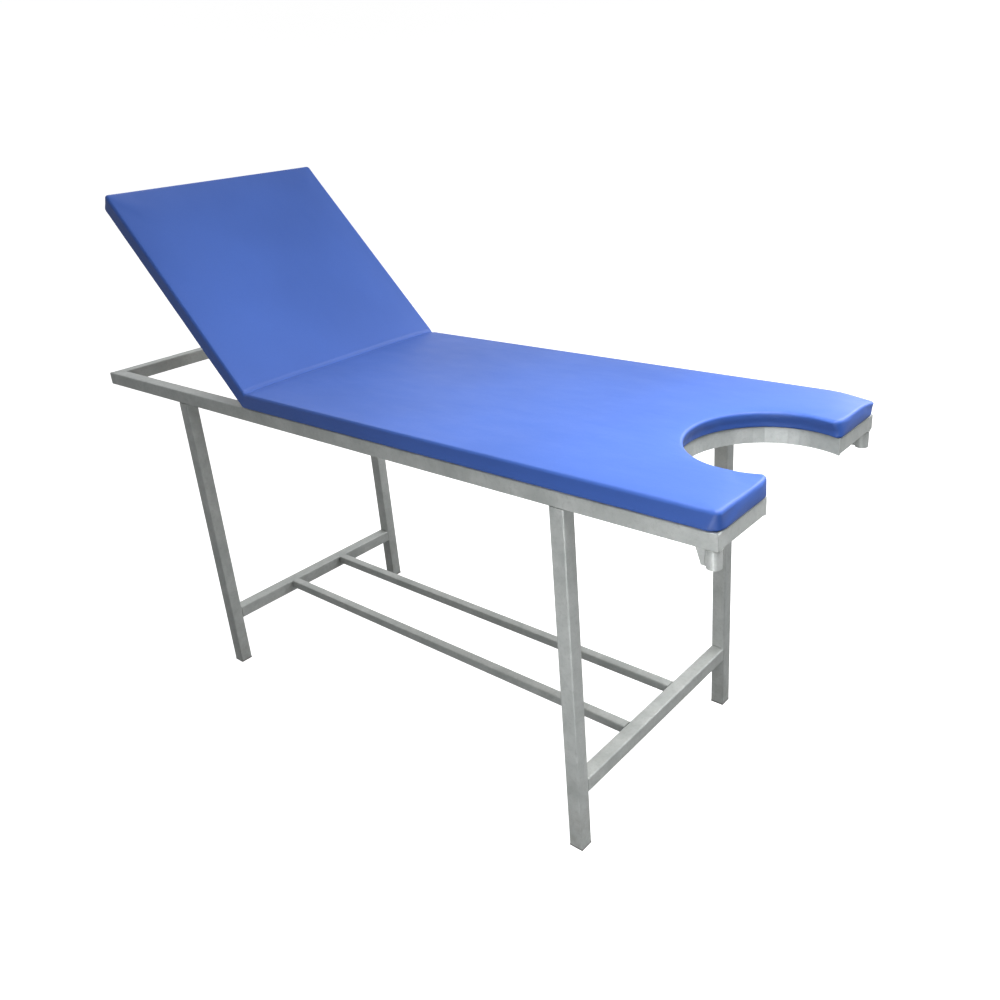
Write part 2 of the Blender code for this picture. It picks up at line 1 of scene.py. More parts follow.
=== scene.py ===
"""Looks of the gynaecological examination couch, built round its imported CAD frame.

X runs from the head end to the foot end, -Y is the near long side, Z is up, in metres.
The frame gives every place. This script adds the padded vinyl cover, its hem and staples
and the weld beads, and gives every piece a procedural material.
"""
import json
from math import acos, ceil, cos, pi, radians, sin

import bmesh
import bpy
import numpy as np
from mathutils import Matrix, Vector
from mathutils.geometry import delaunay_2d_cdt


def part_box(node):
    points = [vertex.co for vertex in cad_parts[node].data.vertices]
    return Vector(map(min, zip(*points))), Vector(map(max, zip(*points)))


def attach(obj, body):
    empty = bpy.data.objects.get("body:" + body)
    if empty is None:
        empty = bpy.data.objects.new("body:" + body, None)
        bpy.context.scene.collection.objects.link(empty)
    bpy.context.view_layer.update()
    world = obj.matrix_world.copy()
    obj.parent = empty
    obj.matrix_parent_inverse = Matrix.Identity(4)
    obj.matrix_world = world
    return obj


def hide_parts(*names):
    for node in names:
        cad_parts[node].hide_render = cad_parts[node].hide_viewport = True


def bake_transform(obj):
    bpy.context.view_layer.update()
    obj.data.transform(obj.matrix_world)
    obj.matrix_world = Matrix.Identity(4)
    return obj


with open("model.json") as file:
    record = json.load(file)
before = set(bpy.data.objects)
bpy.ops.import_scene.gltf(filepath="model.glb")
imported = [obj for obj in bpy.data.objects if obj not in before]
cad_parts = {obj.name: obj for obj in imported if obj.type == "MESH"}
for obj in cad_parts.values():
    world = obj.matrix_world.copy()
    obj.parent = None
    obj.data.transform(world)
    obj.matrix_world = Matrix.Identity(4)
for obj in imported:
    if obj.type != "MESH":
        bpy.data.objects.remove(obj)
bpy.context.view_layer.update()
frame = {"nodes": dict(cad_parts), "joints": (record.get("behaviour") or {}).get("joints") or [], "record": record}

# ---- places and sizes, from the frame -----------------------------------------------------
HINGE = Vector(next(j["pos_m"] for j in frame["joints"] if j["name"] == "backrest_hinge"))
REST_ANGLE = radians(45)  # of the backrest above level, as the frame was built
RAIL_LOW, RAIL_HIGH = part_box("side_rail_near")
TUBE = RAIL_HIGH.z - RAIL_LOW.z
SEAT_LOW, SEAT_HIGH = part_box("seat_pad")
BACKREST_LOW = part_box("backrest_pad")[0]
BOARD_LOW, BOARD_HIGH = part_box("seat_board")
BAND_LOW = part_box("cutout_band")[0]
BAND_RADIUS = 0.165       # outside

SIDES = (("near", -1), ("far", 1))
CROSS_MEMBERS = (
    "hinge_cross_member", "bearer_cross_member", "seat_cross_member", "cutout_cross_member"
)

# the pad laid flat: u along X from the hinge line, v along Y, h above the hinge line
PAD_TOP = SEAT_HIGH.z - HINGE.z
PAD_BASE = SEAT_LOW.z - HINGE.z
PAD_HALF = SEAT_HIGH.y
PAD_FOOT = SEAT_HIGH.x - HINGE.x
PAD_HEAD = (HINGE.x - BACKREST_LOW.x) / cos(REST_ANGLE) + PAD_BASE
PAD_CORNER = 0.025        # in plan, along the pad's base
TOP_CORNER = 0.011        # and along its top, where the vinyl is pulled to a neater corner
CUTOUT_RADIUS = 0.155
OVERHANG = 0.008          # how far the foam bulges into the cut-out
OVERHANG_REACH = 0.022
DROOP = 0.011             # of the far foot corner, where the foam is pulled down
DROOP_REACH = 0.045
CUTOUT_U = BAND_LOW.x + BAND_RADIUS - HINGE.x
PRONG_CORNER = 0.011
SKIRT = 0.0063            # the pad's width round the board's edge
FOAM_GAP = 0.0004         # between the pad and its board
BOARD_TOP = BOARD_HIGH.z - HINGE.z + FOAM_GAP
EDGE_ROUND = 0.0070
BASE_ROUND = 0.004
LIP_IN = 0.001            # bevel of the skirt's inner edge
LIP_UP = 0.0008
SWELL = 0.004             # sets how far the top rises from its edges to its middle
CROWN_REACH = 0.03        # from the edge, over which most of that rise happens
WAIST = 0.0012            # how far the long sides pull in at half height
WAIST_REACH = 0.004       # from the side inwards
GIVE = 0.0012             # how far the cloth simulation may move a point
CLOTH_FRAMES = 20
TUCK_DEPTH = 0.00055
TUCK_END = 0.008          # below the pad's top, where the tucks have died out
TUCK_FADE = 0.024         # below that, where they are deepest
TUCK_REACH = 0.006        # from the pad's edge inwards
GRID = 0.009              # mesh spacing of the pad's top
FOLD_GRID = 0.004
FOLD_ZONE = 0.050
FOLD_REACH = 0.010        # the cover bends within this distance of the fold's middle plane
CREASE_FILL = 0.0035      # foam that keeps the crease shallow, over CREASE_HALF either side
CREASE_HALF = 0.024
RAIL_ROOM = 0.0022        # the cover's underside is lifted this much at the hinge line
RAIL_ROOM_HALF = 0.015
HEM_WIDTH = 0.055         # vinyl turned under the backrest board
HEM = 0.00015             # thickness of that vinyl
HEM_WOBBLE = 0.0012       # of its hand-cut edge
HEM_START = -0.060        # from the hinge line
HEM_STEPS = 50            # points along each side
HEM_CORNER = 0.0005       # smallest radius of its corners
STAPLE_INSET = 0.049      # from the pad's edge
STAPLE_PITCH = 0.045
STAPLE_CROWN = 0.010
STAPLE_LEG = 0.003
STAPLE_BEND = 0.0006
STAPLE_WIRE = (0.0003, 0.0005)  # half the flat wire's thickness and width
STAPLE_PROUD = 0.0001     # how far the crown stands out of the vinyl
BEAD = 0.0022             # half the width of a fillet weld
BEAD_PITCH = 0.0027       # of its ripples
BEAD_STEP = 0.0009        # mesh spacing along a bead
FLAT_BEAD = (0.0030, 0.0001)  # half width and height of a weld dressed flush
SMALL_BEAD = (0.0015, 0.0015)
SOCKET_BEAD = (0.0016, 0.0016)
MITRE_INSET = 0.001       # of the dressed welds' outer ends
FILLET_STOP = 0.002       # below the rails' top, where upright fillets end
FLOOR_GLOW = 0.95


# ---- materials ----------------------------------------------------------------------------
class Finish:
    """A Principled material whose colour, roughness and relief come from noise."""

    def __init__(self, name, **constants):
        self.material = bpy.data.materials.new(name)
        self.material.use_nodes = True
        self.tree = self.material.node_tree
        self.shader = self.tree.nodes["Principled BSDF"]
        self.place = self.add("ShaderNodeTexCoord").outputs["Object"]
        self.relief = None
        for socket, value in constants.items():
            self.shader.inputs[socket.replace("_", " ")].default_value = value

    def add(self, kind, **settings):
        node = self.tree.nodes.new(kind)
        for key, value in settings.items():
            setattr(node, key, value)
        return node

    def wire(self, value, socket):
        if isinstance(value, bpy.types.NodeSocket):
            self.tree.links.new(value, socket)
        else:
            socket.default_value = value

    def stretched(self, stretch):
        mapping = self.add("ShaderNodeMapping")
        self.wire(self.place, mapping.inputs["Vector"])
        mapping.inputs["Scale"].default_value = stretch
        return mapping.outputs["Vector"]

    def noise(self, size, detail=3.0, rough=0.5, stretch=None, warp=0.0):
        """Noise from 0 to 1 whose blotches are about this size in metres."""
        node = self.add("ShaderNodeTexNoise")
        self.wire(self.stretched(stretch) if stretch else self.place, node.inputs["Vector"])
        node.inputs["Scale"].default_value = 1 / size
        node.inputs["Detail"].default_value = detail
        node.inputs["Roughness"].default_value = rough
        node.inputs["Distortion"].default_value = warp
        return node.outputs["Fac"]

    def cells(self, size):
        """Distance to the nearest point of cells about this size in metres."""
        node = self.add("ShaderNodeTexVoronoi")
        self.wire(self.place, node.inputs["Vector"])
        node.inputs["Scale"].default_value = 1 / size
        return node.outputs["Distance"]

    def spread(self, value, low, high, to_low=0.0, to_high=1.0):
        """Maps low..high to to_low..to_high, clamped."""
        node = self.add("ShaderNodeMapRange")
        self.wire(value, node.inputs["Value"])
        for socket, number in zip(node.inputs[1:5], (low, high, to_low, to_high)):
            socket.default_value = number
        return node.outputs["Result"]

    def times(self, first, second):
        node = self.add("ShaderNodeMath", operation="MULTIPLY")
        self.wire(first, node.inputs[0])
        self.wire(second, node.inputs[1])
        return node.outputs[0]

    def height(self):
        node = self.add("ShaderNodeSeparateXYZ")
        self.wire(self.place, node.inputs[0])
        return node.outputs["Z"]

    def mix(self, factor, first, second):
        node = self.add("ShaderNodeMix", data_type="RGBA")
        self.wire(factor, node.inputs[0])
        for value, socket in ((first, node.inputs[6]), (second, node.inputs[7])):
            self.wire((*value, 1) if isinstance(value, tuple) else value, socket)
        return node.outputs[2]

    def colour(self, value):
        self.wire(value, self.shader.inputs["Base Color"])

    def roughness(self, value):
        self.wire(value, self.shader.inputs["Roughness"])

    def bump(self, height, depth, strength=1.0):
        """Relief of this depth in metres, on top of what is already there."""
        node = self.add("ShaderNodeBump")
        node.inputs["Distance"].default_value = depth
        node.inputs["Strength"].default_value = strength
        self.wire(height, node.inputs["Height"])
        if self.relief:
            self.wire(self.relief, node.inputs["Normal"])
        self.relief = node.outputs["Normal"]
        self.wire(self.relief, self.shader.inputs["Normal"])


def make_vinyl():
    """Smooth upholstery vinyl: fine leather grain, soft gloss, faint handling marks."""
    vinyl = Finish("vinyl", Specular_IOR_Level=0.40, Coat_Weight=0.04, Coat_Roughness=0.35)
    drift = vinyl.noise(0.35, 2, 0.5)
    fine = vinyl.noise(0.004, 4, 0.6)
    base = vinyl.mix(vinyl.spread(drift, 0.35, 0.65), (0.040, 0.109, 0.415), (0.048, 0.125, 0.465))
    base = vinyl.mix(vinyl.spread(fine, 0.3, 0.7, 0.0, 0.10), base, (0.03, 0.07, 0.34))
    vinyl.colour(base)
    wiped = vinyl.noise(0.12, 4, 0.65, stretch=(1, 2.5, 1))
    vinyl.roughness(vinyl.spread(wiped, 0.3, 0.7, 0.42, 0.52))
    grain = vinyl.cells(0.0013)
    vinyl.bump(grain, 0.00012, 0.5)
    vinyl.bump(fine, 0.00025, 0.35)
    vinyl.bump(vinyl.noise(0.06, 3, 0.5), 0.0012, 0.25)
    return vinyl.material


def make_paint():
    """Silver-grey enamel on tube: blotchy, faint orange peel; browner towards the floor, partly dust, partly
    painted floor bounce light.
    """
    paint = Finish("paint", Metallic=0.25, Specular_IOR_Level=0.4)
    cloud = paint.noise(0.055, 5, 0.65, warp=0.5)
    speck = paint.noise(0.007, 4, 0.7)
    base = paint.mix(paint.spread(cloud, 0.35, 0.65), (0.455, 0.485, 0.475), (0.575, 0.60, 0.59))
    base = paint.mix(paint.spread(speck, 0.50, 0.72, 0.0, 0.4), base, (0.35, 0.37, 0.36))
    # browner and darker towards the floor: partly dust, partly painted bounce light from a brownish floor
    low = paint.spread(paint.height(), 0.02, 0.22, 0.35, 0.0)
    dust_and_floor_bounce = paint.times(low, paint.spread(paint.noise(0.03, 4, 0.7), 0.35, 0.65))
    base = paint.mix(dust_and_floor_bounce, base, (0.235, 0.225, 0.195))
    paint.colour(base)
    paint.roughness(paint.spread(cloud, 0.3, 0.7, 0.40, 0.56))
    paint.bump(paint.noise(0.0025, 3, 0.5), 0.00012, 0.45)
    paint.bump(paint.noise(0.02, 4, 0.6), 0.0004, 0.3)
    return paint.material


def make_weld_paint():
    """The same enamel where it lies thick and shiny over weld metal."""
    paint = Finish("weld_paint", Metallic=0.35, Specular_IOR_Level=0.6)
    cloud = paint.noise(0.012, 4, 0.6)
    base = paint.mix(paint.spread(cloud, 0.35, 0.65), (0.34, 0.36, 0.35), (0.47, 0.49, 0.48))
    paint.colour(base)
    paint.roughness(paint.spread(paint.noise(0.004, 3, 0.6), 0.3, 0.7, 0.28, 0.42))
    paint.bump(paint.noise(0.0016, 3, 0.6), 0.0002, 0.5)
    return paint.material


def make_zinc():
    """Zinc-plated steel: soft spangle, drawn lines, slightly dull."""
    zinc = Finish("zinc", Metallic=1.0)
    spangle = zinc.cells(0.009)
    lines = zinc.noise(0.002, 4, 0.6, stretch=(0.08, 1, 1))
    base = zinc.mix(zinc.spread(spangle, 0.0, 0.8), (0.56, 0.575, 0.59), (0.68, 0.69, 0.70))
    zinc.colour(zinc.mix(zinc.spread(lines, 0.4, 0.7, 0, 0.4), base, (0.45, 0.455, 0.46)))
    zinc.roughness(zinc.spread(lines, 0.3, 0.7, 0.30, 0.48))
    zinc.bump(lines, 0.00008, 0.5)
    return zinc.material


def make_plywood():
    """Rotary-cut plywood: long warm grain, a few darker streaks, open pores."""
    wood = Finish("plywood", Specular_IOR_Level=0.25)
    figure = wood.noise(0.05, 4, 0.6, stretch=(0.12, 1, 1), warp=1.2)
    pores = wood.noise(0.0022, 3, 0.6, stretch=(0.05, 1, 1))
    base = wood.mix(wood.spread(figure, 0.3, 0.7), (0.44, 0.29, 0.155), (0.60, 0.43, 0.25))
    wood.colour(wood.mix(wood.spread(pores, 0.5, 0.72, 0, 0.6), base, (0.28, 0.17, 0.085)))
    wood.roughness(wood.spread(pores, 0.3, 0.7, 0.62, 0.80))
    wood.bump(pores, 0.0002, 0.6)
    return wood.material


def make_plastic():
    """Dark grey moulded plastic with a fine spark texture."""
    plastic = Finish("plastic", Specular_IOR_Level=0.4)
    tone = plastic.noise(0.02, 3, 0.5)
    spark = plastic.noise(0.0009, 2, 0.5)
    tone = plastic.spread(tone, 0.3, 0.7)
    plastic.colour(plastic.mix(tone, (0.10, 0.10, 0.095), (0.16, 0.155, 0.145)))
    plastic.roughness(plastic.spread(spark, 0.3, 0.7, 0.5, 0.68))
    plastic.bump(spark, 0.0001, 0.5)
    return plastic.material


def make_floor_white():
    """Matt white studio floor, faintly lit from within so that shadows stay pale."""
    floor = Finish("floor_white", Specular_IOR_Level=0.0, Emission_Strength=FLOOR_GLOW)
    floor.shader.inputs["Emission Color"].default_value = (1, 1, 1, 1)
    tone = floor.noise(0.8, 3, 0.5)
    floor.colour(floor.mix(tone, (0.50, 0.50, 0.50), (0.53, 0.53, 0.53)))
    floor.roughness(floor.spread(floor.noise(0.02, 3), 0.3, 0.7, 0.8, 0.95))
    return floor.material


FINISHES = {
    "silver_grey_paint": make_paint(),
    "zinc_plated_steel": make_zinc(),
    "blue_vinyl": make_vinyl(),
    "plywood": make_plywood(),
    "grey_plastic": make_plastic(),
}
WELD_PAINT = make_weld_paint()


def finish_frame():
    """Gives every CAD node that stays the finish of its material slot."""
    slots = {part["node"]: part["material_slot"] for part in frame["record"]["subparts"]}
    for name, node in frame["nodes"].items():
        for place in node.material_slots:
            place.material = FINISHES[slots[name]]


# ---- mesh helpers -------------------------------------------------------------------------
def new_piece(name, vertices, faces, material):
    mesh = bpy.data.meshes.new(name)
    mesh.from_pydata([tuple(v) for v in vertices], [], [tuple(f) for f in faces])
    mesh.validate()
    piece = bpy.data.objects.new(name, mesh)
    bpy.context.scene.collection.objects.link(piece)
    mesh.materials.append(material)
    mesh.shade_smooth()
    return piece


def arc(centre, radius, start, end, steps):
    """Points along an arc, both ends included."""
    angles = [start + (end - start) * i / steps for i in range(steps + 1)]
    return [(centre[0] + radius * cos(a), centre[1] + radius * sin(a)) for a in angles]


def between(start, end, spacing):
    """Points from start to end, about this far apart, both ends left out."""
    count = max(1, ceil((Vector(end) - Vector(start)).length / spacing))
    return [tuple(Vector(start).lerp(Vector(end), i / count)) for i in range(1, count)]


# ---- the padded cover, laid flat ----------------------------------------------------------
def columns():
    """Where the pad's mesh has a row of points along u: closer together at the fold."""
    coarse = np.arange(FOLD_ZONE, PAD_FOOT - PAD_CORNER - GRID / 2, GRID)
    fine = np.arange(-FOLD_ZONE + FOLD_GRID, FOLD_ZONE - FOLD_GRID / 2, FOLD_GRID)
    back = -np.arange(FOLD_ZONE, PAD_HEAD - PAD_CORNER - GRID / 2, GRID)
    return np.concatenate([back[::-1], fine, coarse])


def pad_ring(inset, height):
    """The pad's outline seen from above, shrunk evenly; every ring has the same points."""
    half = PAD_HALF - inset
    foot = PAD_FOOT - inset
    mid = PAD_HALF - PAD_CORNER
    neat = min(max((height - PAD_BASE) / (PAD_TOP - PAD_BASE - EDGE_ROUND), 0), 1)
    turn = PAD_CORNER + (TOP_CORNER - PAD_CORNER) * neat
    corner = turn - inset
    prong_u = PAD_FOOT - PRONG_CORNER
    opening = acos((prong_u - CUTOUT_U) / (CUTOUT_RADIUS + PRONG_CORNER))
    prong_v = (CUTOUT_RADIUS + PRONG_CORNER) * sin(opening)
    near = [(inset - PAD_HEAD, 0.0)]
    near += between((inset - PAD_HEAD, 0), (inset - PAD_HEAD, -mid), GRID)
    near += arc((turn - PAD_HEAD, turn - PAD_HALF), corner, pi, 3 * pi / 2, 6)
    near += [(u, -half) for u in columns()]
    near += arc((PAD_FOOT - turn, turn - PAD_HALF), corner, -pi / 2, 0, 6)
    near += between((foot, -mid), (foot, -prong_v), GRID)
    near += arc((prong_u, -prong_v), PRONG_CORNER - inset, 0, pi - opening, 6)
    steps = ceil((pi - opening) * CUTOUT_RADIUS / GRID)
    hollow = arc((CUTOUT_U, 0), CUTOUT_RADIUS + inset, 2 * pi - opening, pi, steps)
    near += hollow[1:]
    far = [(u, -v) for u, v in near[-2:0:-1]]
    return near + far


def pad_section():
    """(inset, height) of each ring, from the recess for the board round to the top."""
    section = [(SKIRT, BOARD_TOP), (SKIRT, PAD_BASE + BASE_ROUND)]
    section.append((SKIRT - LIP_IN, PAD_BASE + LIP_UP))
    section += arc((BASE_ROUND, PAD_BASE + BASE_ROUND), BASE_ROUND, 3 * pi / 2, pi, 3)
    side_low = PAD_BASE + BASE_ROUND
    side_high = PAD_TOP - SWELL / 2 - EDGE_ROUND
    section += [(0, side_low + (side_high - side_low) * i / 3) for i in (1, 2)]
    section += arc((EDGE_ROUND, side_high), EDGE_ROUND, pi, pi / 2, 6)
    return section


def inside_pad(u, v, margin):
    """Whether a point lies inside the pad's outline by more than the margin."""
    clear = margin + EDGE_ROUND
    if abs(v) > PAD_HALF - clear or not clear - PAD_HEAD < u < PAD_FOOT - clear:
        return False
    if Vector((u - CUTOUT_U, v)).length < CUTOUT_RADIUS + clear:
        return False
    head_u, foot_u = PAD_CORNER - PAD_HEAD, PAD_FOOT - PAD_CORNER
    over = Vector((max(head_u - u, u - foot_u, 0), max(abs(v) - PAD_HALF + PAD_CORNER, 0)))
    return over.length < PAD_CORNER - clear or over.x == 0 or over.y == 0


def fill(ring, spacing):
    """Points and faces that fill a ring: a square grid, joined to the ring by triangles."""
    limit = PAD_HALF - EDGE_ROUND
    rows = np.linspace(-limit, limit, 2 * ceil(limit / spacing) + 1)
    grid = [
        (u, v)
        for u in columns()
        for v in rows
        if inside_pad(u, v, 0.4 * spacing)
    ]
    points = [Vector(p) for p in ring + grid]
    edges = [(i, (i + 1) % len(ring)) for i in range(len(ring))]
    _, _, faces, origin, _, _ = delaunay_2d_cdt(points, edges, [], 1, 1e-7)
    return grid, [[origin[i][0] for i in face] for face in faces]


def flat_pad():
    """Vertices (u, v, h) and faces of the closed pad."""
    rings = [[(u, v, h) for u, v in pad_ring(inset, h)] for inset, h in pad_section()]
    count = len(rings[0])
    vertices = [p for ring in rings for p in ring]
    faces = []
    for r in range(len(rings) - 1):
        for i in range(count):
            j = (i + 1) % count
            low, high = r * count, (r + 1) * count
            faces.append((low + i, low + j, high + j, high + i))
    for ring, base, flip in ((rings[-1], (len(rings) - 1) * count, False), (rings[0], 0, True)):
        grid, triangles = fill([p[:2] for p in ring], GRID)
        start = len(vertices)
        vertices += [(u, v, ring[0][2]) for u, v in grid]
        for face in triangles:
            ids = [base + i if i < count else start + i - count for i in face]
            faces.append(tuple(reversed(ids)) if flip else tuple(ids))
    return vertices, faces


def join_into_quads(piece):
    edit = bmesh.new()
    edit.from_mesh(piece.data)
    bmesh.ops.recalc_face_normals(edit, faces=edit.faces)
    thin = [face for face in edit.faces if len(face.verts) == 3]
    bmesh.ops.join_triangles(
        edit, faces=thin, angle_face_threshold=radians(20), angle_shape_threshold=radians(35)
    )
    edit.to_mesh(piece.data)
    edit.free()


def coordinates(mesh):
    values = np.zeros(len(mesh.vertices) * 3)
    mesh.vertices.foreach_get("co", values)
    return values.reshape(-1, 3)


def inflate(piece):
    """Lets the cover swell over its foam by cloth simulation, held where it is stapled."""
    start = coordinates(piece.data)
    held = piece.vertex_groups.new(name="held")
    low = [int(i) for i in np.flatnonzero(start[:, 2] < PAD_BASE + BASE_ROUND)]
    recess = [int(i) for i in np.flatnonzero(abs(start[:, 2] - BOARD_TOP) < 1e-6)]
    held.add(low + recess, 1.0, "REPLACE")
    cloth = piece.modifiers.new("cloth", "CLOTH")
    settings = cloth.settings
    settings.quality = 4
    settings.mass = 0.3
    settings.tension_stiffness = settings.compression_stiffness = 12
    settings.bending_stiffness = 1.5
    settings.vertex_group_mass = "held"
    settings.use_pressure = True
    settings.uniform_pressure_force = 4
    settings.effector_weights.gravity = 0
    cloth.point_cache.frame_start, cloth.point_cache.frame_end = 1, CLOTH_FRAMES
    scene = bpy.context.scene
    for number in range(1, CLOTH_FRAMES + 1):
        scene.frame_set(number)
    graph = bpy.context.evaluated_depsgraph_get()
    moved = coordinates(piece.evaluated_get(graph).data)
    piece.modifiers.remove(cloth)
    piece.vertex_groups.remove(held)
    scene.frame_set(1)
    swell = moved - start
    length = np.linalg.norm(swell, axis=1, keepdims=True) + 1e-12
    piece.data.vertices.foreach_set(
        "co", (start + swell / length * GIVE * np.tanh(length / GIVE)).ravel()
    )


def crown(piece):
    """The foam's own shape: a crowned top, sides that pull in, a bulge into the cut-out."""
    points = coordinates(piece.data)
    u, v, h = points.T
    to_side = PAD_HALF - abs(v)
    to_end = np.minimum(u + PAD_HEAD, PAD_FOOT - u)
    to_hollow = np.hypot(u - CUTOUT_U, v) - CUTOUT_RADIUS
    depth = np.minimum(np.minimum(to_side, to_end), to_hollow).clip(0)
    on_top = ((h - BOARD_TOP) / (PAD_TOP - BOARD_TOP)).clip(0, 1)
    points[:, 2] += on_top * SWELL * 0.6 * (1 - np.exp(-depth / CROWN_REACH))
    waist = WAIST * on_top * (1 - on_top) * 4
    along = np.sin(pi * ((u + PAD_HEAD) / (PAD_HEAD + PAD_FOOT)).clip(0, 1)) ** 0.5
    points[:, 1] -= np.sign(v) * waist * along * (to_side < WAIST_REACH)
    near_hollow = np.exp(-((to_hollow / OVERHANG_REACH) ** 2))
    bulge = OVERHANG * np.sin(pi / 2 * on_top) ** 0.7 * near_hollow
    from_middle = np.hypot(u - CUTOUT_U, v)
    points[:, 0] -= bulge * (u - CUTOUT_U) / from_middle
    points[:, 1] -= bulge * v / from_middle
    corner = np.hypot(u - PAD_FOOT, v - PAD_HALF) / DROOP_REACH
    points[:, 2] -= DROOP * on_top * np.exp(-(corner**2))
    piece.data.vertices.foreach_set("co", points.ravel())


def pucker(piece):
    """Small tucks where the vinyl is pulled round the corners and the cut-out."""
    mesh = piece.data
    points = coordinates(mesh)
    normals = np.zeros(len(mesh.vertices) * 3)
    mesh.vertices.foreach_get("normal", normals)
    normals = normals.reshape(-1, 3)
    u, v, h = points.T
    low = ((PAD_TOP - TUCK_END - h) / TUCK_FADE).clip(0, 1) * (h > PAD_BASE + 0.0005)
    round_hollow = np.exp(-((np.hypot(u - CUTOUT_U, v) - CUTOUT_RADIUS) / TUCK_REACH) ** 2)
    turn = np.arctan2(v, u - CUTOUT_U)
    tucks = round_hollow * (0.6 * np.sin(38 * turn) + 0.4 * np.sin(61 * turn + 1.0))
    for corner_u in (PAD_CORNER - PAD_HEAD, PAD_FOOT - PAD_CORNER):
        for side in (-1, 1):
            du, dv = u - corner_u, v - side * (PAD_HALF - PAD_CORNER)
            outward = 1 if corner_u > 0 else -1
            here = (du * outward > -0.004) & (dv * side > -0.004)
            tucks += here * 1.3 * np.cos(9 * np.arctan2(dv * side, du * outward))
    waves = np.sin(u / 0.021 + 1.7 * np.sin(u / 0.13)) * np.sin(u / 0.047 + 0.6)
    tucks += 0.35 * waves * (PAD_HALF - abs(v) < TUCK_REACH)
    points += normals * (TUCK_DEPTH * low * tucks)[:, None]
    mesh.vertices.foreach_set("co", points.ravel())


# ---- folding the cover up to the backrest -------------------------------------------------
FOLD_NORMAL = Vector((-cos(REST_ANGLE / 2), 0, sin(REST_ANGLE / 2)))


def fold(piece):
    """Turns each point up about the hinge line by its share of the rest angle.
    """
    points = coordinates(piece.data)
    u, v, h = points.T
    on_top = ((h - BOARD_TOP) / (PAD_TOP - BOARD_TOP)).clip(0, 1)
    h = h + on_top * CREASE_FILL * np.exp(-((u / CREASE_HALF) ** 4))
    h += RAIL_ROOM * np.exp(-((u / RAIL_ROOM_HALF) ** 2)) * (h < PAD_BASE + BASE_ROUND)
    radius, angle = np.hypot(u, h), np.arctan2(h, u)
    low, high = np.zeros(len(u)), np.ones(len(u))
    for _ in range(40):
        share = (low + high) / 2
        turned = angle - share * REST_ANGLE
        out = radius * (np.cos(turned) * FOLD_NORMAL.x + np.sin(turned) * FOLD_NORMAL.z)
        t = (0.5 + out / (2 * FOLD_REACH)).clip(0, 1)
        under = t * t * (3 - 2 * t) > share
        low = np.where(under, share, low)
        high = np.where(under, high, share)
    turned = angle - share * REST_ANGLE
    folded = np.stack([HINGE.x + radius * np.cos(turned), v, HINGE.z + radius * np.sin(turned)], 1)
    piece.data.vertices.foreach_set("co", folded.ravel())


def subdivide(piece):
    piece.modifiers.new("smooth", "SUBSURF").levels = 1
    graph = bpy.context.evaluated_depsgraph_get()
    fine = bpy.data.meshes.new_from_object(piece.evaluated_get(graph))
    piece.modifiers.clear()
    piece.data = fine
    fine.shade_smooth()


def make_cover():
    vertices, faces = flat_pad()
    cover = new_piece("padded_cover", vertices, faces, FINISHES["blue_vinyl"])
    join_into_quads(cover)
    inflate(cover)
    crown(cover)
    pucker(cover)
    fold(cover)
    subdivide(cover)
    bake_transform(cover)
    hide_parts("seat_pad", "backrest_pad")


# ---- turned-under vinyl and its staples ---------------------------------------------------
def raised(u, v, h):
    """A point of the flat pad, carried up with the backrest."""
    out, over = cos(REST_ANGLE), sin(REST_ANGLE)
    return Vector((HINGE.x + u * out + h * over, v, HINGE.z - u * over + h * out))


def hem_line(inset):
    """The backrest's edge from the near side round the head to the far side, shrunk."""
    corner = max(PAD_CORNER - inset, HEM_CORNER)
    half, end = PAD_HALF - inset, inset - PAD_HEAD
    u, v = end + corner, half - corner
    near = [(HEM_START + (u - HEM_START) * i / HEM_STEPS, -half) for i in range(HEM_STEPS)]
    near += arc((u, -v), corner, 3 * pi / 2, pi, 6)
    middle = HEM_STEPS // 2
    near += [(end, -v + v * i / middle) for i in range(1, middle + 1)]
    return near + [(a, -b) for a, b in near[-2::-1]]


def make_hem():
    """The cover's edge, turned under the backrest board and cut by hand."""
    base = BOARD_LOW.z - HINGE.z
    section = (  # inset and height of each corner
        (0.0044, PAD_BASE + 0.0004),
        (SKIRT, base - HEM),
        (HEM_WIDTH, base - HEM),
        (HEM_WIDTH, base - HEM / 10),
        (SKIRT + HEM, base - HEM / 10),
        (SKIRT - HEM, PAD_BASE + 0.0006),
    )
    vertices = []
    for inset, h in section:
        line = hem_line(inset)
        for i, (u, v) in enumerate(line):
            cut = (inset == HEM_WIDTH) * HEM_WOBBLE * sin(i / 2.3 + 2 * sin(i / 9))
            if abs(v) > PAD_HALF - inset - 1e-4:
                vertices.append(raised(u, v - cut * np.sign(v), h))
            else:
                vertices.append(raised(u + cut, v, h))
    count, rings = len(hem_line(0.0)), len(section)
    faces = []
    for r in range(rings):
        low, high = r * count, (r + 1) % rings * count
        faces += [(low + i, low + i + 1, high + i + 1, high + i) for i in range(count - 1)]
    faces.append(tuple(r * count for r in range(rings)))
    faces.append(tuple(r * count + count - 1 for r in reversed(range(rings))))
    hem = new_piece("cover_hem", vertices, faces, FINISHES["blue_vinyl"])
    hem.data.shade_flat()
    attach(hem, "backrest")


